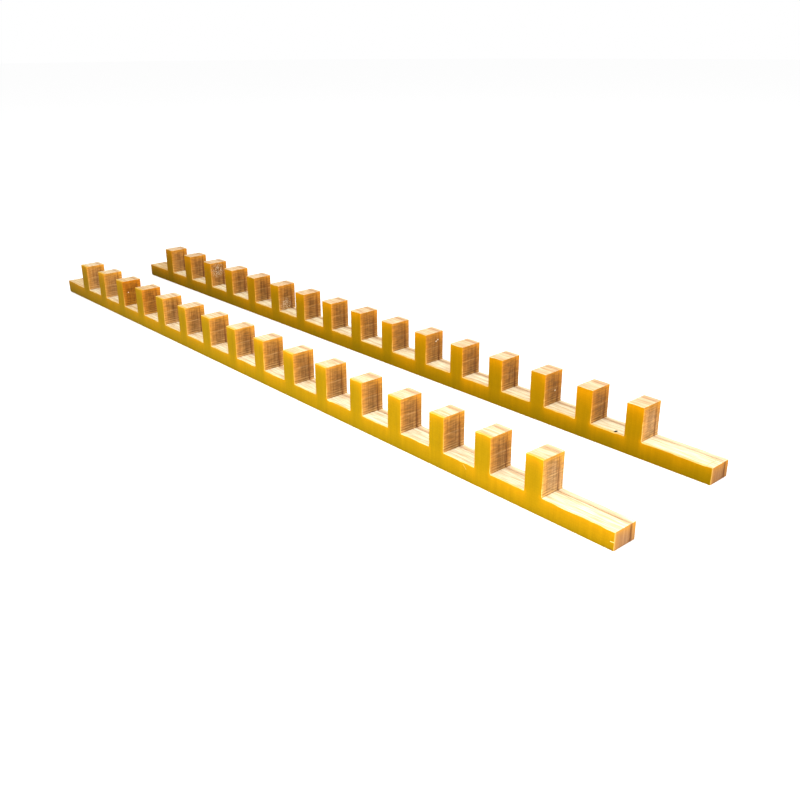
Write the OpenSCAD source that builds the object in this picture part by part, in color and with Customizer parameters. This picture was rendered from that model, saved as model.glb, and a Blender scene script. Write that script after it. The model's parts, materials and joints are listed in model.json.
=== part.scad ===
// A pair of straight comb racks of glass-cloth laminate, lying side by side on their flat undersides.
// Each rack is a thick main board and a thinner backing board, bonded face to face, with sixteen
// square teeth milled through both. X runs along the racks, Y across them and Z up.
// The origin is the centre of the front rack's underside. All sizes are in millimetres.

/* [Teeth] */
// Number of teeth on each rack
teeth = 16; // [2:1:24]
// Distance from one tooth to the same point of the next
pitch = 30; // [24:0.5:40]
// Width of a tooth along the rack
tooth_w = 10; // [6:0.5:16]
// Height of a tooth above the web
tooth_h = 18; // [6:0.5:30]

/* [Web and tabs] */
// Height of the solid web under the teeth
web_h = 9; // [6:0.5:20]
// Length of the plain tab before the first tooth
tab_left = 29; // [10:0.5:60]
// Length of the plain tab after the last tooth
tab_right = 38; // [10:0.5:60]

/* [Boards] */
// Thickness of the main board
main_t = 10.5; // [6:0.1:16]
// Thickness of the cured bond between the boards
bond_t = 0.3; // [0.1:0.05:0.5]
// Thickness of the backing board
backing_t = 3.2; // [2:0.1:8]

/* [Corners] */
// Radius that the milling cutter leaves at the foot of a tooth
root_r = 0.6; // [0.2:0.1:1.5]
// Radius of the eased corners at a tooth's tip
tip_r = 0.5; // [0.2:0.1:1.5]
// Radius of the lower corner of the left end
heel_r = 2.2; // [0.5:0.1:4]
// Radius of the other three end corners
end_r = 0.5; // [0.2:0.1:1]

/* [Rear rack] */
// Shift of the rear rack along X, between the racks' centres
rear_dx = -4.8; // [-30:0.1:30]
// Distance of the rear rack behind the front one, between their centres
rear_dy = 76.5; // [50:0.5:150]
// Turn of the rear rack about its own centre, in degrees
rear_yaw = 0.6; // [-2:0.1:2]

/* [Hidden] */
$fn = 48;
rack_l = tab_left + (teeth - 1) * pitch + tooth_w + tab_right;
rack_h = web_h + tooth_h;
rack_t = main_t + bond_t + backing_t;
slot_w = pitch - tooth_w;
// How far a cutter runs past the outline
over = 1;
amber = [0.85, 0.62, 0.07];
bond_brown = [0.45, 0.27, 0.10];

// X position of the left flank of tooth i, counted from 0
function tooth_x(i) = tab_left + i * pitch;

// What is milled away beside a tooth: w wide, open at the top, with rounded lower corners
module gap_outline(w) {
    translate([root_r, 0]) square([w - 2 * root_r, tooth_h + over]);
    translate([0, root_r]) square([w, tooth_h + over - root_r]);
    for (x = [root_r, w - root_r])
        translate([x, root_r]) circle(r = root_r);
}

// The sliver that is taken off a corner at the origin, where the material lies towards +X and +Y
module corner_sliver(r) {
    difference() {
        translate([-over, -over]) square(r + over);
        translate([r, r]) circle(r = r);
    }
}

// The tooth's two tip corners
module tip_slivers() {
    translate([0, rack_h]) mirror([0, 1]) corner_sliver(tip_r);
    translate([tooth_w, rack_h]) mirror([1, 0]) mirror([0, 1]) corner_sliver(tip_r);
}

// The four corners of the rack's two ends
module end_slivers() {
    corner_sliver(heel_r);
    translate([0, web_h]) mirror([0, 1]) corner_sliver(end_r);
    translate([rack_l, 0]) mirror([1, 0]) corner_sliver(end_r);
    translate([rack_l, web_h]) mirror([1, 0]) mirror([0, 1]) corner_sliver(end_r);
}

// The comb's outline, seen from the front, with its lower left corner at the origin
module comb_outline() {
    difference() {
        square([rack_l, rack_h]);
        translate([-over - root_r, web_h]) gap_outline(tab_left + over + root_r);
        for (i = [0 : teeth - 2])
            translate([tooth_x(i) + tooth_w, web_h]) gap_outline(slot_w);
        translate([rack_l - tab_right, web_h]) gap_outline(tab_right + over + root_r);
        for (i = [0 : teeth - 1])
            translate([tooth_x(i), 0]) tip_slivers();
        end_slivers();
    }
}

// A layer of the comb, t thick, whose front face lies depth behind the rack's front face
module comb_layer(depth, t) {
    translate([-rack_l / 2, depth + t - rack_t / 2, 0])
        rotate([90, 0, 0]) linear_extrude(t) comb_outline();
}

// Puts a layer where the rear rack lies
module at_rear() {
    translate([rear_dx, rear_dy, 0]) rotate([0, 0, rear_yaw]) children();
}

module front_main_board() {
    color(amber) comb_layer(0, main_t);
}

module front_bond_line() {
    color(bond_brown) comb_layer(main_t, bond_t);
}

module front_backing_board() {
    color(amber) comb_layer(main_t + bond_t, backing_t);
}

module rear_main_board() {
    color(amber) at_rear() comb_layer(0, main_t);
}

module rear_bond_line() {
    color(bond_brown) at_rear() comb_layer(main_t, bond_t);
}

module rear_backing_board() {
    color(amber) at_rear() comb_layer(main_t + bond_t, backing_t);
}

front_main_board();
front_bond_line();
front_backing_board();
rear_main_board();
rear_bond_line();
rear_backing_board();
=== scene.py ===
import json
import math

import bpy
import numpy as np
from mathutils import Euler, Matrix, Vector
from mathutils.geometry import delaunay_2d_cdt


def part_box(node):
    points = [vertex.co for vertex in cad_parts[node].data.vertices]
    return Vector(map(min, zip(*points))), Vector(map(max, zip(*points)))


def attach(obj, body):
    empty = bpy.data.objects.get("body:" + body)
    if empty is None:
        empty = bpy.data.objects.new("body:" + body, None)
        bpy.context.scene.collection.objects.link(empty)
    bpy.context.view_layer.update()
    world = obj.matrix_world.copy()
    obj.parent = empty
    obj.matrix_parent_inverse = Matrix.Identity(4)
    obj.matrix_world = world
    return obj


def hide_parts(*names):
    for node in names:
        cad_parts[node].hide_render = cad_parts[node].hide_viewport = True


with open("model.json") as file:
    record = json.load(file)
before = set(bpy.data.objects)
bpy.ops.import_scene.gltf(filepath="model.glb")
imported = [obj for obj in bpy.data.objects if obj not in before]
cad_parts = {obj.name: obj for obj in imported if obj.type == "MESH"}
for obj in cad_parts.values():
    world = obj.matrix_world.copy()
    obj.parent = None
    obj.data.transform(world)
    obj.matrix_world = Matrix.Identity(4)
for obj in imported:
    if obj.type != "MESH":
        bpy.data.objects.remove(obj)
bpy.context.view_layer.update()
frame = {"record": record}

MM = 0.001
MOUNTS = {m["name"]: m for m in frame["record"]["mounts"]}

# ---------------------------------------------------------------- the rack's own sizes
# A rack's own frame is the front rack's: X along it, Y from its front face to its back, Z up,
# with the origin in the middle of its underside.
RACK_LOW, RACK_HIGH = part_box("front_main_board")
RACK_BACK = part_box("front_backing_board")[1].y
RACK_H = RACK_HIGH.z
RACK_T = RACK_BACK - RACK_LOW.y
WEB_H = MOUNTS["front_left_tab"]["pos_m"][2]
TEETH = 16
PITCH = 30 * MM
TOOTH_W = 10 * MM
TAB_LEFT = 2 * (MOUNTS["front_left_tab"]["pos_m"][0] - RACK_LOW.x)
ROOT_R = 0.6 * MM
TIP_R = 0.5 * MM
HEEL_R = 2.2 * MM
END_R = 0.5 * MM

# Layer name, and how far its front and back lie along Y in the rack's own frame
LAYERS = {
    layer: (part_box("front_" + layer)[0].y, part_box("front_" + layer)[1].y)
    for layer in ("main_board", "bond_line", "backing_board")
}
BOND_Y = sum(LAYERS["bond_line"]) / 2

# ---------------------------------------------------------------- mesh fineness
# The way a stretch of the outline faces, and the mesh step along each kind
UP, FLANK, UNDER = 0, 1, 2
STEP = {UP: 0.7 * MM, FLANK: 0.6 * MM, UNDER: 2.5 * MM}
ARC_STEPS = 4
HEEL_STEPS = 8
# Rows across a board's thickness, and the grid of a broad face
PLY_ROW = 0.4 * MM
FACE_GRID = 1.5 * MM
# The eased edge of a broad face, how worn it is by kind, and the narrow margin inside it
EDGE = 0.18 * MM
EDGE_WEAR = {UP: 1.9, FLANK: 1.0, UNDER: 0.1}
RIM = 0.25 * MM
# The relief on the underside, as a share of the relief elsewhere
UNDER_RELIEF = 0.1


def tooth_left(i):
    """X of the left flank of tooth i, counted from 0."""
    return RACK_LOW.x + TAB_LEFT + i * PITCH


def outline_corners():
    """The comb's corners (x, z, radius, steps of the arc, kind of the stretch that follows), turning
    anticlockwise as seen from the front."""
    left, right = RACK_LOW.x, RACK_HIGH.x
    corners = [
        (left, 0, HEEL_R, HEEL_STEPS, UNDER),
        (right, 0, END_R, ARC_STEPS, FLANK),
        (right, WEB_H, END_R, ARC_STEPS, UP),
    ]
    for i in reversed(range(TEETH)):
        x0 = tooth_left(i)
        x1 = x0 + TOOTH_W
        corners += [
            (x1, WEB_H, ROOT_R, ARC_STEPS, FLANK),
            (x1, RACK_H, TIP_R, ARC_STEPS, UP),
            (x0, RACK_H, TIP_R, ARC_STEPS, FLANK),
            (x0, WEB_H, ROOT_R, ARC_STEPS, UP),
        ]
    corners.append((left, WEB_H, END_R, ARC_STEPS, FLANK))
    return corners


def outline():
    """The comb's rounded outline as arrays: points, outward normals, kinds, and how far each point
    can move inward before its corner folds."""
    corners = outline_corners()
    count = len(corners)
    points, normals, kinds, room = [], [], [], []
    for k, (x, z, r, steps, kind) in enumerate(corners):
        here = np.array((x, z))
        before = np.array(corners[k - 1][:2])
        after = np.array(corners[(k + 1) % count][:2])
        next_r = corners[(k + 1) % count][2]
        d_in = (here - before) / np.linalg.norm(here - before)
        d_out = (after - here) / np.linalg.norm(after - here)
        centre = here + (d_out - d_in) * r
        convex = d_in[0] * d_out[1] - d_in[1] * d_out[0] > 0
        for a in np.linspace(0, math.pi / 2, steps + 1):
            points.append(centre - d_out * r * math.cos(a) + d_in * r * math.sin(a))
            along = d_in * math.cos(a) + d_out * math.sin(a)
            normals.append((along[1], -along[0]))
            kinds.append(corners[k - 1][4] if a < math.pi / 4 else kind)
            room.append(0.92 * r if convex else WEB_H)
        start, end = here + d_out * r, after - d_out * next_r
        cells = max(1, round(np.linalg.norm(end - start) / STEP[kind]))
        for s in range(1, cells):
            points.append(start + (end - start) * s / cells)
            normals.append((d_out[1], -d_out[0]))
            kinds.append(kind)
            room.append(WEB_H)
    return np.array(points), np.array(normals), np.array(kinds), np.array(room)


# ---------------------------------------------------------------- smooth random functions
def smooth_line(rng, low, high, wave):
    """A smooth random function of one length, between 0 and 1, that changes over about wave."""
    knots = np.arange(low - wave, high + 2 * wave, wave)
    values = rng.random(len(knots))

    def at(u):
        t = (np.asarray(u) - knots[0]) / wave
        i = np.clip(t.astype(int), 0, len(knots) - 2)
        f = np.clip(t - i, 0, 1)
        f = f * f * (3 - 2 * f)
        return values[i] * (1 - f) + values[i + 1] * f

    return at


def smooth_sheet(rng, low, high, wave):
    """A smooth random function of two lengths, between 0 and 1, with its own wave along each."""
    low, high, wave = np.array(low), np.array(high), np.array(wave)
    size = np.ceil((high - low) / wave).astype(int) + 4
    values = rng.random(tuple(size))

    def at(u, v):
        t = [(np.asarray(c) - low[n]) / wave[n] + 1 for n, c in enumerate((u, v))]
        i = [np.clip(t[n].astype(int), 0, size[n] - 2) for n in (0, 1)]
        f = [np.clip(t[n] - i[n], 0, 1) for n in (0, 1)]
        f = [g * g * (3 - 2 * g) for g in f]
        a = values[i[0], i[1]] * (1 - f[0]) + values[i[0] + 1, i[1]] * f[0]
        b = values[i[0], i[1] + 1] * (1 - f[0]) + values[i[0] + 1, i[1] + 1] * f[0]
        return a * (1 - f[1]) + b * f[1]

    return at


def fade(distance, reach):
    """1 at no distance, falling away over about reach."""
    return np.exp(-np.maximum(distance, 0) / reach)


def bump_at(u, centre, half_width):
    """A soft hump, 1 at the centre."""
    return np.exp(-(((u - centre) / half_width) ** 2))


# ---------------------------------------------------------------- where a point is on the comb
def tooth_index(x):
    """The tooth whose pitch x lies in, from 0, before it is limited to real teeth."""
    return np.floor((x - tooth_left(0) + (PITCH - TOOTH_W) / 2) / PITCH).astype(int)


def x_of_tooth(x):
    """X of the left flank of the tooth nearest to x."""
    return tooth_left(np.clip(tooth_index(x), 0, TEETH - 1))


def over_tooth(x):
    """True where a tooth stands over x."""
    return (x > x_of_tooth(x) - ROOT_R) & (x < x_of_tooth(x) + TOOTH_W + ROOT_R)


def below_open(x, z):
    """How far a point lies below the open upper surface over it."""
    top = np.where(over_tooth(x), RACK_H, WEB_H)
    return np.maximum(top - z, 0)


# ---------------------------------------------------------------- marks seen on the racks
# Rough patches on right flanks: (tooth from 1, share of depth, share of height from the root,
# radius, depth of the pits)
PITS = {
    "front": [],
    "rear": [(3, 0.40, 0.66, 4.8 * MM, 0.25 * MM), (6, 0.42, 0.20, 4.2 * MM, 0.18 * MM)],
}
# Stretches where resin has soaked the cut faces: (centre tooth from 1, half width in pitches), and
# how brown the top of the left tab is
STAINS = {"front": [(3.5, 0.75)], "rear": []}
TAB_STAIN = {"front": 0.65, "rear": 0.75}
BURNT = (0.004, 0.003, 0.002)
CHIPPED = (0.78, 0.62, 0.42)
PALE = (0.56, 0.43, 0.14)
SCRATCHED = (0.44, 0.26, 0.055)
CUT_LINE = (0.60, 0.40, 0.20)
BROWN = (0.16, 0.075, 0.006)
FRONT_Y = RACK_LOW.y
LAST_FLOOR_X = tooth_left(15) - 5.8 * MM


def flank_mark(tooth, deep, z, length, width, colour):
    """A short mark on the right flank of a tooth, counted from 1, at a depth and a height."""
    x = tooth_left(tooth - 1) + TOOTH_W
    y = FRONT_Y + deep
    return (x, y, z), (x, y + length, z + 0.4 * length), width, colour


# Marks on the main board's cut faces: from, to, width, colour
CUT_MARKS = {
    "front": [flank_mark(3, 3.8 * MM, 18.5 * MM, 0.1 * MM, 0.7 * MM, CHIPPED)],
    "rear": [
        (
            (LAST_FLOOR_X, FRONT_Y + 0.9 * MM, WEB_H),
            (LAST_FLOOR_X, FRONT_Y + 2.3 * MM, WEB_H),
            1.3 * MM,
            BURNT,
        ),
        (
            (RACK_HIGH.x - 3.4 * MM, FRONT_Y + 0.6 * MM, WEB_H),
            (RACK_HIGH.x - 3.4 * MM, FRONT_Y + 10.0 * MM, WEB_H),
            0.5 * MM,
            CUT_LINE,
        ),
        flank_mark(11, 8.2 * MM, 21.3 * MM, 0.2 * MM, 0.7 * MM, CHIPPED),
        flank_mark(11, 9.6 * MM, 22.0 * MM, 0.3 * MM, 0.7 * MM, CHIPPED),
        flank_mark(14, 8.5 * MM, 16.1 * MM, 0.1 * MM, 0.8 * MM, CHIPPED),
    ],
}
# Marks on the front pressed face
FACE_MARKS = {
    "front": [
        ((178.6 * MM, FRONT_Y, 7.9 * MM), (180.6 * MM, FRONT_Y, 5.9 * MM), 0.3 * MM, SCRATCHED),
        ((261.4 * MM, FRONT_Y, 3.9 * MM), (263.2 * MM, FRONT_Y, 4.1 * MM), 0.3 * MM, PALE),
        ((261.6 * MM, FRONT_Y, 0.5 * MM), (262.4 * MM, FRONT_Y, 0.4 * MM), 0.8 * MM, BROWN),
    ],
    "rear": [],
}


class Rack:
    """The shape and the surface values of one rack, which all its layers share."""

    def __init__(self, name, seed):
        rng = np.random.default_rng(seed)
        self.name = name
        self.points, self.normals, self.kinds, self.room = outline()
        y_range = (RACK_LOW.y, RACK_BACK)
        self.ply_fine = smooth_line(rng, *y_range, 0.45 * MM)
        self.ply_wide = smooth_line(rng, *y_range, 1.6 * MM)
        self.edge_wear = smooth_line(rng, 0, len(self.points), 5)
        self.swell = smooth_sheet(rng, (RACK_LOW.x, 0), (RACK_HIGH.x, RACK_H), (14 * MM, 9 * MM))
        span = (0, RACK_LOW.y), (len(self.points), RACK_BACK)
        self.grain = smooth_sheet(rng, *span, (2.5, 0.8 * MM))
        self.pits = [self.scatter(rng, *p) for p in PITS[name]]

    def scatter(self, rng, tooth, depth_share, height_share, radius, depth):
        """A patch of small pits on the right flank of a tooth: (x, y, z, radius, depth) each."""
        x = tooth_left(tooth - 1) + TOOTH_W
        y = RACK_LOW.y + depth_share * RACK_T
        z = WEB_H + height_share * (RACK_H - WEB_H)
        count = max(1, round((radius / (0.8 * MM)) ** 2 * 1.5))
        found = []
        for _ in range(count):
            turn, away = rng.random() * math.tau, radius * math.sqrt(rng.random())
            size = (0.35 + 0.45 * rng.random()) * MM
            where = (x, y + away * math.cos(turn), z + away * math.sin(turn))
            found.append((*where, size, depth * (0.5 + 0.5 * rng.random())))
        return found

    def pit_depth(self, x, y, z):
        """How deep the pits go at band points."""
        depth = np.zeros(len(x))
        for patch in self.pits:
            for px, py, pz, size, deep in patch:
                near = np.abs(x - px) < 0.2 * MM
                away = np.hypot(y - py, z - pz)
                depth = np.maximum(depth, np.where(near, deep * np.exp(-((away / size) ** 2)), 0))
        return depth

    def patch(self, x, y, z):
        """How much of the surface is torn, from 0 to 1, in the rough patches."""
        found = np.zeros(len(x))
        for tooth, depth_share, height_share, radius, _ in PITS[self.name]:
            px = tooth_left(tooth - 1) + TOOTH_W
            py = RACK_LOW.y + depth_share * RACK_T
            pz = WEB_H + height_share * (RACK_H - WEB_H)
            away = np.hypot(y - py, z - pz) / radius
            near = np.abs(x - px) < 0.3 * MM
            found = np.maximum(found, near * np.clip(1.6 - 1.2 * away, 0, 1))
        return found

    def relief(self, columns, x, y, z):
        """How far band points lie inside the nominal outline: plies, grain, bond groove and pits."""
        plies = 0.04 * MM * self.ply_fine(y) + 0.03 * MM * self.ply_wide(y)
        grain = 0.03 * MM * self.grain(columns, y)
        groove = 0.10 * MM * bump_at(y, BOND_Y, 0.25 * MM)
        standing = np.where(self.kinds == UNDER, UNDER_RELIEF, 1.0)
        return (plies + grain + groove) * standing + self.pit_depth(x, y, z)

    def stain(self, x, up):
        """How far resin has soaked the cut faces; it shows less on those that face up."""
        found = np.where((up > 0) & (x < tooth_left(0)), TAB_STAIN[self.name] / 0.45, 0.0)
        for tooth, half in STAINS[self.name]:
            centre = tooth_left(0) + TOOTH_W / 2 + (tooth - 1) * PITCH
            found = np.maximum(found, 1 / (1 + ((x - centre) / (half * PITCH)) ** 8))
        return found * (1 - 0.55 * up)


# The orange painted glow along the front edge of tops and of floors, as of light shining through the
# resin: its strength at the edge, and its reach
TOP_EDGE = {"front": (1.1, 1.9 * MM), "rear": (0.3, 3.0 * MM)}
FLOOR_EDGE = {"front": (0.6, 2.0 * MM), "rear": (0.85, 1.7 * MM)}
# How strongly the bond line shows on top of the right tab, and how dark the right end is
TAB_BOND = {"front": 0.85, "rear": 0.5}
END_SHADE = {"front": 0.42, "rear": 0.64}


def band_values(rack, x, y, z, kind, right):
    """Surface values of the milled band: how far each point has glow, bond stain and so on."""
    deep = y - RACK_LOW.y
    from_back = RACK_T - deep
    up = (kind == UP).astype(float)
    flank = (kind == FLANK).astype(float)
    end = x > RACK_HIGH.x - MM
    last = x > tooth_left(TEETH - 1) + TOOTH_W - 0.2 * MM
    from_far_end = np.clip((x - tooth_left(0)) / (3 * PITCH), 0, 1)
    # Painted glow: orange where light shines through the resin, along the front edge of tops and
    # floors, and on the flanks near the front, the back and the top
    start, reach = TOP_EDGE[rack.name]
    top_edge = np.clip(start - deep / reach, 0, 1)
    start, reach = FLOOR_EDGE[rack.name]
    floor_edge = np.clip(start - deep / reach, 0, 1)
    up_glow = up * np.where(z > WEB_H + 2 * MM, top_edge, floor_edge)
    front_glow = up_glow + flank * 0.8 * fade(deep, 2.8 * MM)
    back_glow = flank * 0.35 * fade(from_back, 2.2 * MM)
    top_reach = np.where(y > BOND_Y - 1.2 * MM, 4.2 * MM, 2.4 * MM)
    top_glow = flank * 0.95 * fade(below_open(x - 0.3 * MM, z) - 0.3 * MM, top_reach)
    end_shade = END_SHADE[rack.name] + 0.6 * (1 - z / WEB_H)
    flank_shade = (0.2 + 0.6 * from_far_end) * bump_at(deep, 6.4 * MM, 3.6 * MM)
    shade = np.where(end, end_shade, flank_shade)
    bond = bump_at(y, BOND_Y + (0.15 + 0.25 * up) * MM, (0.9 + 0.2 * up) * MM)
    bond *= np.where(last & (up > 0), TAB_BOND[rack.name], 1.0)
    glow = np.clip(np.maximum(front_glow, top_glow) + back_glow, 0, 1)
    glow *= np.where(end, 1 - 0.7 * bond, 1.0)
    # Painted light: flanks near the far left, the right flank of the last tooth and the right end are
    # painted paler, as if more lit
    painted_flank_light = flank * np.where(end, 0.08, np.where(last, 0.20, 0.05 * (1 - from_far_end)))
    # Painted highlights along edges: all along the front of floors and tops, near the root on right
    # flanks, and along the back edges of tops and floors and the left edges of tops
    flank_edge_highlight = flank * (right > 0.5) * np.clip(1.1 - (z - WEB_H) / (10 * MM), 0.05, 1)
    from_left = np.where(over_tooth(x), x - x_of_tooth(x), TOOTH_W)
    edge_highlight = fade(deep, 0.35 * MM) * (0.12 * up + 0.8 * flank_edge_highlight)
    edge_highlight += up * (0.35 * fade(from_back, 0.6 * MM) + 0.3 * fade(from_left, 0.6 * MM))
    return {
        "glow": glow,
        "shade": flank * shade,
        "bond": bond,
        # The share of the paler, lit copy of each colour, for tops, floors and the flanks painted
        # paler above: painted light
        "painted_lit_share": up + painted_flank_light,
        "flank": flank,
        "stain": rack.stain(x, up),
        "pits": rack.patch(x, y, z),
        "edge_highlight": np.clip(edge_highlight, 0, 1),
    }


# How the pressed face's colour changes: how far below a tooth's top the painted glow starts to fade
# and over what length, and the web's painted shade under its upper edge, its gain towards the base
# and power
TOP_GLOW = {"front": (0.0, 2.2 * MM), "rear": (1.3 * MM, 3.8 * MM)}
WEB_SHADE = {"front": (0.0, 0.62, 3.4), "rear": (0.13, 0.50, 1.0)}


def face_values(rack, x, z):
    """Surface values of a pressed broad face."""
    x0 = x_of_tooth(x)
    inside = np.maximum(np.minimum(x - x0, x0 + TOOTH_W - x), 0)
    below = np.maximum(WEB_H - z, 0)
    above = np.maximum(z - WEB_H, 0)
    # Painted glow: orange under the slot floors, near the tooth tops and along each tooth's right
    # edge, as of light shining through the resin
    floor_glow = 0.7 * fade(np.hypot(inside, below), 2.75 * MM)
    floor_glow *= 1 - 0.8 * np.clip(inside / (1.5 * MM), 0, 1)
    floor_glow *= fade(above, 0.8 * MM)
    start, reach = TOP_GLOW[rack.name]
    top_glow = fade(RACK_H - z - start, reach)
    side_glow = np.where(above > 0, 0.30 * fade(x0 + TOOTH_W - x, 0.9 * MM), 0)
    base, gain, power = WEB_SHADE[rack.name]
    shade = base + gain * (below / WEB_H) ** power
    shade += (0.10 - base) * np.clip(above / (4 * MM), 0, 1)
    shade += 0.25 * np.clip(1 - (x - RACK_LOW.x) / (70 * MM), 0, 1)
    # Browner towards the left end of the pressed face, kept in the stain value
    browner_to_left = np.clip(1 - (x - RACK_LOW.x) / (130 * MM), 0, 1)
    zero = np.zeros(len(x))
    return {
        "glow": np.clip(floor_glow + top_glow + side_glow, 0, 1),
        "shade": shade,
        "bond": zero,
        "painted_lit_share": zero,
        "flank": zero,
        "stain": browner_to_left,
        "pits": zero,
        "edge_highlight": zero,
    }


VALUE_NAMES = ("glow", "shade", "bond", "painted_lit_share", "flank", "stain", "pits", "edge_highlight")
PRESSED, MILLED = 0, 1


def inner_points():
    """Grid points well inside the comb, for a broad face."""
    margin = 0.6 * FACE_GRID
    xs = np.arange(RACK_LOW.x + margin, RACK_HIGH.x - margin, FACE_GRID)
    zs = np.arange(margin, RACK_H - margin, FACE_GRID)
    x, z = (g.ravel() for g in np.meshgrid(xs, zs))
    x0 = x_of_tooth(x)
    in_tooth = (x > x0 + margin) & (x < x0 + TOOTH_W - margin)
    heel = np.hypot(x - RACK_LOW.x, z) < 2 * margin
    inside = ((z < WEB_H - margin) | in_tooth) & ~heel
    return np.stack([x[inside], z[inside]], 1)


def cap(ring, inner):
    """Triangles that fill the ring, using the inner points. Indices count the ring, then those."""
    points = [Vector(p) for p in np.concatenate([ring, inner])]
    loop = list(range(len(ring)))
    _, _, faces, origins, _, _ = delaunay_2d_cdt(points, [], [loop], 1, 1e-9)
    first = [o[0] for o in origins]
    return [tuple(first[v] for v in f) for f in faces]


def rows_of(low, high, outer):
    """(y, inset) of each row of the band across one layer; the outer side has an eased edge."""
    count = max(2, round((high - low) / PLY_ROW))
    rows = [(y, 0.0) for y in np.linspace(low, high, count + 1)]
    eased = [(0.0, EDGE), (0.3 * EDGE, 0.3 * EDGE), (EDGE, 0.0)]
    if outer == "front":
        rows = [(low + d, inset) for d, inset in eased] + [r for r in rows if r[0] > low + 1.2 * EDGE]
    if outer == "back":
        rows = [r for r in rows if r[0] < high - 1.2 * EDGE]
        rows += [(high - d, inset) for d, inset in reversed(eased)]
    return rows


def board_mesh(rack, name, low, high, outer):
    """The closed mesh of one layer: a milled band round the outline and a face on either side."""
    count = len(rack.points)
    columns = np.arange(count)
    wear = 0.45 + 1.1 * rack.edge_wear(columns) ** 2
    wear *= np.array([EDGE_WEAR[kind] for kind in rack.kinds])
    verts, values = [], {v: [] for v in VALUE_NAMES}

    def add(x, y, z, given):
        verts.append(np.stack([x, y, z], 1))
        for v in VALUE_NAMES:
            values[v].append(given[v])

    rows = rows_of(low, high, outer)
    insets = []
    for y, inset in rows:
        x, z = rack.points.T
        ys = np.full(count, y)
        inward = rack.relief(columns, x, ys, z) + inset * wear
        given = band_values(rack, x, ys, z, rack.kinds, rack.normals[:, 0])
        add(x - rack.normals[:, 0] * inward, ys, z - rack.normals[:, 1] * inward, given)
        insets.append(inward)
    faces, material = [], []

    def add_ring(a, b, slot):
        """Quads between two rings of vertices that start at a and b."""
        for k in range(count):
            n = (k + 1) % count
            faces.append((a + k, b + k, b + n, a + n))
            material.append(slot)

    for j in range(len(rows) - 1):
        add_ring(j * count, (j + 1) * count, MILLED)
    for side, y, row in (("front", low, 0), ("back", high, len(rows) - 1)):
        ring_start = row * count
        ring = verts[row][:, [0, 2]]
        inner = np.zeros((0, 2))
        if side == outer:
            # A narrow margin inside the edge keeps the painted edge highlight thin
            inward = np.minimum(insets[row] + RIM, rack.room)
            ring = rack.points - rack.normals * inward[:, None]
            ring_start = sum(len(v) for v in verts)
            add(ring[:, 0], np.full(count, y), ring[:, 1], face_values(rack, *ring.T))
            if side == "front":
                add_ring(ring_start, row * count, PRESSED)
            else:
                add_ring(row * count, ring_start, PRESSED)
            inner = inner_points()
            x, z = inner.T
            dip = 0.05 * MM * rack.swell(x, z)
            inner_start = sum(len(v) for v in verts)
            add(x, y + dip if side == "front" else y - dip, z, face_values(rack, x, z))
        for f in cap(ring, inner):
            f = tuple(ring_start + v if v < count else inner_start + v - count for v in f)
            faces.append(f if side == "front" else f[::-1])
            material.append(PRESSED)
    mesh = bpy.data.meshes.new(name)
    mesh.from_pydata(np.concatenate(verts).tolist(), [], faces)
    mesh.polygons.foreach_set("material_index", material)
    mesh.polygons.foreach_set("use_smooth", [True] * len(faces))
    for v in VALUE_NAMES:
        layer = mesh.attributes.new(v, "FLOAT", "POINT")
        layer.data.foreach_set("value", np.concatenate(values[v]).astype(np.float32))
    mesh.update()
    return mesh


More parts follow.
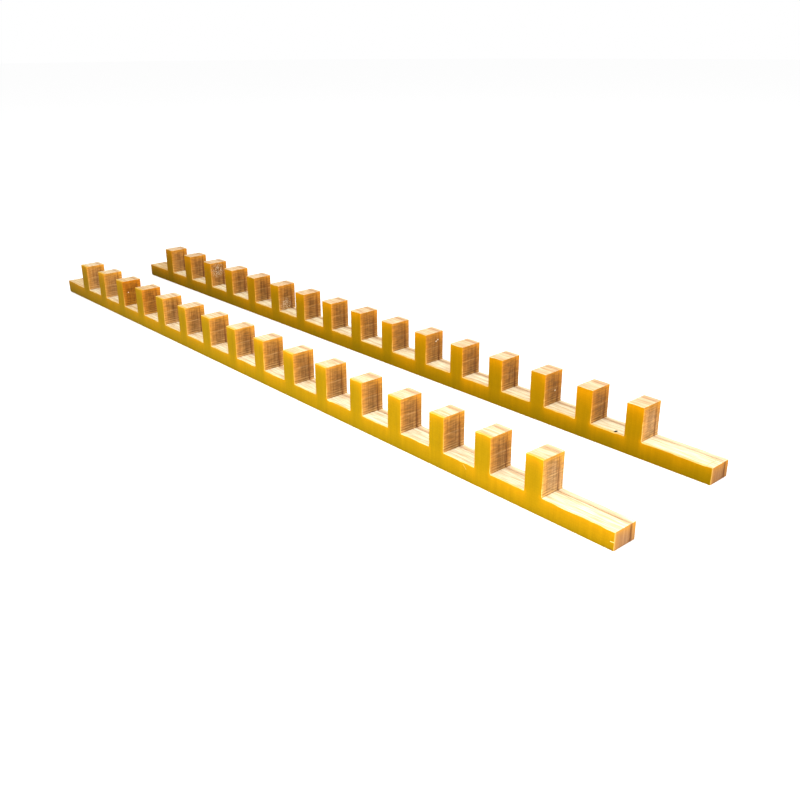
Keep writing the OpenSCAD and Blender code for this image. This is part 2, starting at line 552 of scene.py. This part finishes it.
# ---------------------------------------------------------------- materials
class Graph:
    """A material's nodes. Its calls return output sockets, but node and vector return nodes."""

    def __init__(self, name):
        self.material = bpy.data.materials.new(name)
        self.material.use_nodes = True
        self.tree = self.material.node_tree
        self.shader = self.tree.nodes["Principled BSDF"]
        coordinates = self.node("ShaderNodeTexCoord")
        self.place = coordinates.outputs["Object"]
        parts = self.node("ShaderNodeSeparateXYZ", Vector=self.place)
        self.x, self.y, self.z = parts.outputs

    def node(self, kind, props=None, **inputs):
        made = self.tree.nodes.new(kind)
        for key, value in (props or {}).items():
            setattr(made, key, value)
        for key, value in inputs.items():
            self.put(made.inputs[key.replace("_", " ")], value)
        return made

    def put(self, socket, value):
        if isinstance(value, bpy.types.NodeSocket):
            self.tree.links.new(value, socket)
        else:
            socket.default_value = value

    def math(self, operation, a, b=0.0):
        made = self.node("ShaderNodeMath", {"operation": operation})
        self.put(made.inputs[0], a)
        self.put(made.inputs[1], b)
        return made.outputs[0]

    def value(self, name):
        """One of the mesh's own surface values."""
        return self.node("ShaderNodeAttribute", {"attribute_name": name}).outputs["Fac"]

    def mix(self, share, a, b, blend="MIX"):
        made = self.node("ShaderNodeMix", {"data_type": "RGBA", "blend_type": blend})
        self.put(made.inputs["Factor"], share)
        self.put(made.inputs[6], a if isinstance(a, bpy.types.NodeSocket) else (*a, 1))
        self.put(made.inputs[7], b if isinstance(b, bpy.types.NodeSocket) else (*b, 1))
        return made.outputs[2]

    def scale_colour(self, colour, amount):
        """The colour times a number."""
        made = self.node("ShaderNodeVectorMath", {"operation": "SCALE"})
        self.put(made.inputs[0], colour)
        self.put(made.inputs["Scale"], amount)
        return made.outputs[0]

    def noise(self, per_metre, offset, detail=2.0, roughness=0.5):
        """Noise, about 0 to 1, with its own fineness along each axis of the rack."""
        stretch = self.node("ShaderNodeMapping")
        self.put(stretch.inputs["Vector"], self.place)
        stretch.inputs["Scale"].default_value = per_metre
        stretch.inputs["Location"].default_value = (offset, 2 * offset, 3 * offset)
        made = self.node("ShaderNodeTexNoise", Vector=stretch.outputs[0])
        made.inputs["Scale"].default_value = 1.0
        made.inputs["Detail"].default_value = detail
        made.inputs["Roughness"].default_value = roughness
        return made.outputs["Fac"]

    def spread(self, value, low, high):
        """The value stretched so that low becomes 0 and high 1, and kept between them."""
        made = self.node("ShaderNodeMapRange", {"clamp": True})
        for key, given in (("Value", value), ("From Min", low), ("From Max", high)):
            self.put(made.inputs[key], given)
        return made.outputs[0]

    def hump(self, value, centre, half_width):
        """A soft hump, 1 where the value is at the centre."""
        away = self.math("DIVIDE", self.math("SUBTRACT", value, centre), half_width)
        squared = self.math("MULTIPLY", away, away)
        return self.math("EXPONENT", self.math("MULTIPLY", squared, -1.0))

    def vector(self, operation, a, b):
        made = self.node("ShaderNodeVectorMath", {"operation": operation})
        self.put(made.inputs[0], a)
        self.put(made.inputs[1], b)
        return made

    def scratch(self, start, end, width):
        """1 within half the width of the line from start to end, with a soft rim."""
        line = Vector(end) - Vector(start)
        from_start = self.vector("SUBTRACT", self.place, start).outputs[0]
        along = self.vector("DOT_PRODUCT", from_start, line)
        share = self.spread(along.outputs["Value"], 0.0, line.length_squared)
        nearest = self.vector("ADD", self.scale_colour(line, share), start).outputs[0]
        away = self.vector("DISTANCE", self.place, nearest).outputs["Value"]
        return self.spread(away, 0.62 * width, 0.38 * width)

    def stripes(self, value, period):
        """A sine of the value, from 0 to 1."""
        turn = self.math("SINE", self.math("MULTIPLY", value, math.tau / period))
        return self.spread(turn, -1.0, 1.0)

    def bump(self, height, strength, distance):
        made = self.node("ShaderNodeBump", Height=height)
        made.inputs["Strength"].default_value = strength
        made.inputs["Distance"].default_value = distance
        self.put(self.shader.inputs["Normal"], made.outputs["Normal"])

    def surface(self, colour, roughness, **constants):
        """Sets the shader: constants go straight onto its sockets."""
        self.put(self.shader.inputs["Base Color"], colour)
        self.put(self.shader.inputs["Roughness"], roughness)
        for key, value in constants.items():
            self.shader.inputs[key.replace("_", " ")].default_value = value
        return self.material


# Colours of the pressed faces, and tints of the cut faces: those that face sideways, the tops of
# the teeth, and the slot floors and tabs
PALETTES = {
    "front": {
        "amber": (0.246, 0.138, 0.0014),
        "olive": (0.222, 0.130, 0.0014),
        "deep": (0.118, 0.083, 0.0012),
        "orange": (0.420, 0.184, 0.0026),
        "flank": (1.05, 1.02, 0.86),
        "top": (0.98, 1.01, 1.08),
        "floor": (1.0, 1.04, 1.09),
    },
    # The rear rack's colours are darker, its deep colour most, partly as painted shade from the front
    # rack in front of it
    "rear": {
        "amber": (0.226, 0.112, 0.0005),
        "olive": (0.192, 0.103, 0.0005),
        "deep": (0.084, 0.058, 0.0004),
        "orange": (0.370, 0.152, 0.0008),
        "flank": (0.94, 0.85, 0.59),
        "top": (0.93, 0.90, 0.94),
        "floor": (0.98, 1.02, 1.04),
    },
}


# Distance between the level lines near a tooth's root. They look about 0.8 mm apart in the
# photo, and are drawn wider because lines 0.95 mm apart weren't resolved at its scale
ROOT_LINE_PERIOD = 1.35 * MM


def up_the_tooth(share):
    """The height at a share of the way from a tooth's root to its tip."""
    return WEB_H + share * (RACK_H - WEB_H)


def tinted(colour, tint):
    return tuple(c * t for c, t in zip(colour, tint))


def pressed_material(name, palette, seed, marks):
    """The smooth pressed face: clear amber resin over woven glass."""
    g = Graph(name)
    cloud = g.spread(g.noise((34, 60, 60), seed), 0.3, 0.7)
    colour = g.mix(cloud, palette["amber"], palette["olive"])
    colour = g.mix(g.value("shade"), colour, palette["deep"])
    # Painted glow: orange, as of light shining through the resin
    uneven = g.spread(g.noise((36, 60, 50), seed + 11), 0.3, 0.7)
    glow = g.math("MULTIPLY", g.value("glow"), g.math("ADD", uneven, 0.5))
    glow = g.math("ADD", glow, g.math("MULTIPLY", g.spread(uneven, 0.5, 1.0), 0.10))
    colour = g.mix(glow, colour, palette["orange"])
    # Browner towards the left end
    colour = g.mix(g.value("stain"), colour, (0.97, 0.87, 0.60), "MULTIPLY")
    # Painted highlight along the face's edge next to the cut faces
    colour = g.mix(g.math("MULTIPLY", g.value("edge_highlight"), 0.6), colour, (0.56, 0.34, 0.060))
    bands = g.spread(g.noise((420, 10, 16), seed + 17, 1.0), 0.3, 0.7)
    sway = g.math("MULTIPLY", g.noise((300, 300, 300), seed + 3), 0.6 * MM)
    warp = g.stripes(g.math("ADD", g.x, sway), 1.2 * MM)
    weft = g.stripes(g.math("ADD", g.z, sway), 1.4 * MM)
    weave = g.math("MULTIPLY", warp, weft)
    fleck = g.spread(g.noise((900, 900, 500), seed + 7, 3.0), 0.35, 0.75)
    lift = g.math("ADD", 0.89, g.math("MULTIPLY", weave, 0.05))
    lift = g.math("ADD", lift, g.math("MULTIPLY", bands, 0.10))
    lift = g.math("ADD", lift, g.math("MULTIPLY", fleck, 0.06))
    colour = g.scale_colour(colour, lift)
    for start, end, width, mark_colour in marks:
        colour = g.mix(g.scratch(start, end, width), colour, mark_colour)
    g.bump(g.math("ADD", g.math("MULTIPLY", weave, 0.5), fleck), 0.10, 0.05 * MM)
    rough = g.math("ADD", 0.30, g.math("MULTIPLY", fleck, 0.14))
    return g.surface(colour, rough, Specular_IOR_Level=0.004)


def milled_material(name, palette, seed, marks):
    """The cut faces: glass plies on edge, with the cutter's lines."""
    g = Graph(name)
    # The second value picks the paler, lit copy of each colour below, for tops, floors and some
    # flanks: painted light
    flank, painted_lit_share = g.value("flank"), g.value("painted_lit_share")
    # The right end shows none of the cutter's level lines, as if it were sawn
    on_end = g.spread(g.x, RACK_HIGH.x - 1.4 * MM, RACK_HIGH.x - 1.0 * MM)
    sawn = g.math("MULTIPLY", flank, on_end)
    milled = g.math("SUBTRACT", flank, sawn)
    side, top, floor = palette["flank"], palette["top"], palette["floor"]
    wide = g.spread(g.noise((14, 560, 14), seed, 1.0), 0.34, 0.66)
    fine = g.spread(g.noise((110, 2300, 50), seed + 5, 2.0), 0.40, 0.60)
    hair = g.spread(g.noise((160, 4200, 90), seed + 8, 1.0), 0.50, 0.68)
    plies = g.math("ADD", g.math("MULTIPLY", fine, 0.62), g.math("MULTIPLY", wide, 0.38))
    low = g.spread(g.z, RACK_H - 4 * MM, WEB_H + 3 * MM)
    tan = g.mix(plies, tinted((0.130, 0.048, 0.0130), side), tinted((0.420, 0.205, 0.066), side))
    # Tops and floors are painted a paler cream than the tan flanks, as lit from above: painted light.
    # The floors are paler still
    top_cream = g.mix(plies, tinted((0.440, 0.255, 0.105), top), tinted((0.690, 0.555, 0.335), top))
    floor_dark, floor_light = (0.490, 0.305, 0.135), (0.800, 0.710, 0.490)
    floor_cream = g.mix(plies, tinted(floor_dark, floor), tinted(floor_light, floor))
    cream = g.mix(low, top_cream, floor_cream)
    colour = g.mix(painted_lit_share, tan, cream)
    hair_depth = g.math("ADD", 0.26, g.math("MULTIPLY", flank, 0.20))
    hair_depth = g.math("ADD", hair_depth, g.math("MULTIPLY", sawn, 0.35))
    hair_colour = g.mix(painted_lit_share, tinted((0.16, 0.060, 0.018), side), tinted((0.38, 0.20, 0.085), top))
    colour = g.mix(g.math("MULTIPLY", hair, hair_depth), colour, hair_colour)
    # Fine level lines on the flanks, as from a cutter, with wider ones near the root and one at
    # mid height, as if two passes met there. The paler zone near the root is partly a painted
    # highlight on the rounded root
    level = g.spread(g.noise((120, 200, 1500), seed + 9, 2.0), 0.40, 0.60)
    root_zone = g.hump(g.z, WEB_H + 0.4 * MM, 2.9 * MM)
    ridge = g.math("POWER", g.stripes(g.z, ROOT_LINE_PERIOD), 2.0)
    root_lines = g.math("MULTIPLY", root_zone, ridge)
    pass_line = g.hump(g.z, up_the_tooth(0.49), 0.3 * MM)
    below_pass = g.spread(g.z, up_the_tooth(0.56), up_the_tooth(0.42))
    light = g.math("ADD", g.math("MULTIPLY", pass_line, 0.45), g.math("MULTIPLY", root_lines, 0.95))
    light = g.math("ADD", light, g.math("MULTIPLY", below_pass, 0.14))
    light = g.math("ADD", light, g.math("MULTIPLY", root_zone, 0.16))
    colour = g.mix(g.math("MULTIPLY", light, milled), colour, tinted((0.54, 0.33, 0.155), side))
    colour = g.mix(g.math("MULTIPLY", sawn, 0.35), colour, tinted((0.36, 0.20, 0.135), side))
    soft = g.math("ADD", g.math("MULTIPLY", fine, 0.4), g.math("MULTIPLY", sawn, 0.35))
    bond = g.math("MULTIPLY", g.value("bond"), g.math("ADD", 0.50, soft))
    bond_colour = g.mix(painted_lit_share, tinted((0.11, 0.034, 0.009), side), tinted((0.42, 0.22, 0.095), top))
    colour = g.mix(bond, colour, bond_colour)
    # Painted glow on the cut faces, as of light shining through the resin
    painted_glow_colour = g.mix(painted_lit_share, tinted((0.50, 0.210, 0.022), side), tinted((0.50, 0.280, 0.018), top))
    colour = g.mix(g.value("glow"), colour, painted_glow_colour)
    soaked = g.mix(painted_lit_share, (0.84, 0.64, 0.20), (0.84, 0.66, 0.42))
    colour = g.mix(g.value("stain"), colour, soaked, "MULTIPLY")
    # Painted highlight along the edges, paler on tops and floors
    edge_highlight_colour = g.mix(painted_lit_share, (0.62, 0.385, 0.105), (0.80, 0.71, 0.43))
    colour = g.mix(g.math("MULTIPLY", g.value("edge_highlight"), 0.85), colour, edge_highlight_colour)
    cross = g.math("ADD", 0.83, g.math("MULTIPLY", level, 0.34))
    cross = g.math("ADD", g.math("MULTIPLY", cross, milled), g.math("SUBTRACT", 1.0, milled))
    cross = g.math("SUBTRACT", cross, g.math("MULTIPLY", g.value("shade"), 0.30))
    groove = g.math("MULTIPLY", g.math("SUBTRACT", root_zone, root_lines), milled)
    cross = g.math("SUBTRACT", cross, g.math("MULTIPLY", groove, 0.15))
    colour = g.scale_colour(colour, cross)
    # Torn fibres: pale tufts, partly painted highlights, and small holes painted dark as painted
    # shade
    torn = g.noise((1800, 1800, 1800), seed + 13, 2.0)
    tuft = g.math("MULTIPLY", g.value("pits"), g.spread(torn, 0.54, 0.62))
    painted_pit_shade = g.math("MULTIPLY", g.value("pits"), g.spread(torn, 0.46, 0.38))
    colour = g.mix(tuft, colour, (0.74, 0.58, 0.38))
    colour = g.mix(g.math("MULTIPLY", painted_pit_shade, 0.75), colour, (0.060, 0.026, 0.008))
    for start, end, width, mark_colour in marks:
        colour = g.mix(g.scratch(start, end, width), colour, mark_colour)
    height = g.math("ADD", g.math("MULTIPLY", fine, 0.6), g.math("MULTIPLY", level, 0.5))
    height = g.math("ADD", height, g.math("MULTIPLY", g.value("pits"), g.math("MULTIPLY", torn, 4.0)))
    g.bump(height, 0.3, 0.10 * MM)
    rough = g.math("ADD", 0.62, g.math("MULTIPLY", level, 0.2))
    return g.surface(colour, rough, Specular_IOR_Level=0.06)


def bond_material(name, palette, seed):
    """The cured film: dark, slightly uneven resin, painted paler on the tops and floors, as lit from
    above.
    """
    g = Graph(name)
    side, top = palette["flank"], palette["top"]
    uneven = g.spread(g.noise((420, 900, 300), seed, 3.0), 0.3, 0.7)
    dark = g.mix(uneven, tinted((0.10, 0.034, 0.010), side), tinted((0.22, 0.085, 0.028), side))
    # The film's colour on tops and floors, painted paler as lit from above: painted light
    milled = g.mix(uneven, tinted((0.34, 0.17, 0.070), top), tinted((0.56, 0.36, 0.18), top))
    colour = g.mix(g.value("painted_lit_share"), dark, milled)
    # Painted glow on the film, as of light shining through the resin
    glow = g.math("MULTIPLY", g.value("glow"), 0.6)
    colour = g.mix(glow, colour, tinted((0.42, 0.15, 0.014), side))
    g.bump(uneven, 0.3, 0.05 * MM)
    rough = g.math("ADD", 0.5, g.math("MULTIPLY", uneven, 0.2))
    return g.surface(colour, rough, Specular_IOR_Level=0.1)


# ---------------------------------------------------------------- the racks
OUTER = {"main_board": "front", "bond_line": None, "backing_board": "back"}


def rack_place(name):
    """Where the rack's own frame lies in the row's frame."""
    base = Vector(MOUNTS[name + "_base"]["pos_m"])
    back = MOUNTS[name + "_back_face"]["axis"]
    turn = math.atan2(-back[0], back[1])
    return Matrix.Translation(base) @ Matrix.Rotation(turn, 4, "Z")


def build_rack(name, seed):
    """The three layers of one rack, each in place of its CAD node."""
    rack = Rack(name, seed)
    palette = PALETTES[name]
    cured = bond_material(name + "_bond", palette, seed)
    materials = {
        "main_board": (
            pressed_material(name + "_main_face", palette, seed, FACE_MARKS[name]),
            milled_material(name + "_main_cut", palette, seed, CUT_MARKS[name]),
        ),
        "bond_line": (cured, cured),
        "backing_board": (
            pressed_material(name + "_backing_face", palette, seed + 40, []),
            milled_material(name + "_backing_cut", palette, seed, []),
        ),
    }
    for layer, (low, high) in LAYERS.items():
        node = name + "_" + layer
        mesh = board_mesh(rack, node + "_shape", low, high, OUTER[layer])
        piece = link_object(node + "_piece", mesh)
        for material in materials[layer]:
            mesh.materials.append(material)
        piece.matrix_world = rack_place(name)
        smooth = piece.modifiers.new("even_normals", "WEIGHTED_NORMAL")
        smooth.weight = 80
        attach(piece, name + "_rack")
        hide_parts(node)


# ---------------------------------------------------------------- floor, light and camera
FLOOR_RADIUS = 6.0
FLOOR_SIDES = 96
# Strengths tuned until the plain floor and the faces came out as bright as in the photo
FLOOR_GLOW = 0.2
WORLD = 1.0
# Name, place, the point it faces, side of the square, watts, and spread in degrees
LAMPS = [
    ("front_lamp", (0.20, -0.56, 0.30), (0.16, 0.0, 0.0), 0.35, 1.9, 90),
    ("end_lamp", (1.0, 0.0, 0.36), (0.1, 0.0, 0.0), 0.6, 7.2, 180),
    ("top_lamp", (0.0, 0.0, 1.1), (0.0, 0.0, 0.0), 1.0, 5.0, 180),
]
# From the fit of both racks to the photo
CAMERA_PLACE = (0.4425, -0.2780, 0.1941)
CAMERA_DEGREES = (67.769, 0.282, 48.497)
CAMERA_LENS = 41.01


def link_object(name, data):
    made = bpy.data.objects.new(name, data)
    bpy.context.scene.collection.objects.link(made)
    return made


def build_stage():
    """A plain pale floor, as a wide disc that glows gently into the white surroundings."""
    mesh = bpy.data.meshes.new("floor_shape")
    angles = [math.tau * k / FLOOR_SIDES for k in range(FLOOR_SIDES)]
    ring = [(FLOOR_RADIUS * math.cos(a), FLOOR_RADIUS * math.sin(a), 0) for a in angles]
    mesh.from_pydata(ring, [], [list(range(FLOOR_SIDES))])
    floor = link_object("floor", mesh)
    g = Graph("floor_paint")
    mesh.materials.append(g.surface((0.78, 0.78, 0.78, 1), 0.8, Specular_IOR_Level=0.0))
    g.shader.inputs["Emission Color"].default_value = (1, 1, 1, 1)
    g.shader.inputs["Emission Strength"].default_value = FLOOR_GLOW


def add_lamp(name, place, target, size, watts, spread):
    data = bpy.data.lights.new(name, "AREA")
    data.shape = "SQUARE"
    data.size = size
    data.energy = watts
    data.spread = math.radians(spread)
    lamp = link_object(name, data)
    lamp.location = place
    lamp.rotation_mode = "QUATERNION"
    lamp.rotation_quaternion = (Vector(target) - Vector(place)).to_track_quat("-Z", "Y")


def build_light():
    """Soft light all round, and large soft lamps near the right-hand end."""
    world = bpy.data.worlds.new("soft_sky")
    world.use_nodes = True
    world.node_tree.nodes["Background"].inputs["Color"].default_value = (1, 1, 1, 1)
    world.node_tree.nodes["Background"].inputs["Strength"].default_value = WORLD
    bpy.context.scene.world = world
    for lamp in LAMPS:
        add_lamp(*lamp)
    bpy.context.scene.view_settings.view_transform = "Standard"


def build_camera():
    """The camera, hand held near the right-hand end and looking along the racks."""
    data = bpy.data.cameras.new("camera")
    data.lens = CAMERA_LENS
    data.sensor_width = 36
    data.clip_start, data.clip_end = 0.01, 50
    camera = link_object("camera", data)
    camera.location = CAMERA_PLACE
    camera.rotation_euler = Euler([math.radians(a) for a in CAMERA_DEGREES])
    bpy.context.scene.camera = camera


build_camera()
build_rack("front", 11)
build_rack("rear", 23)
build_stage()
build_light()
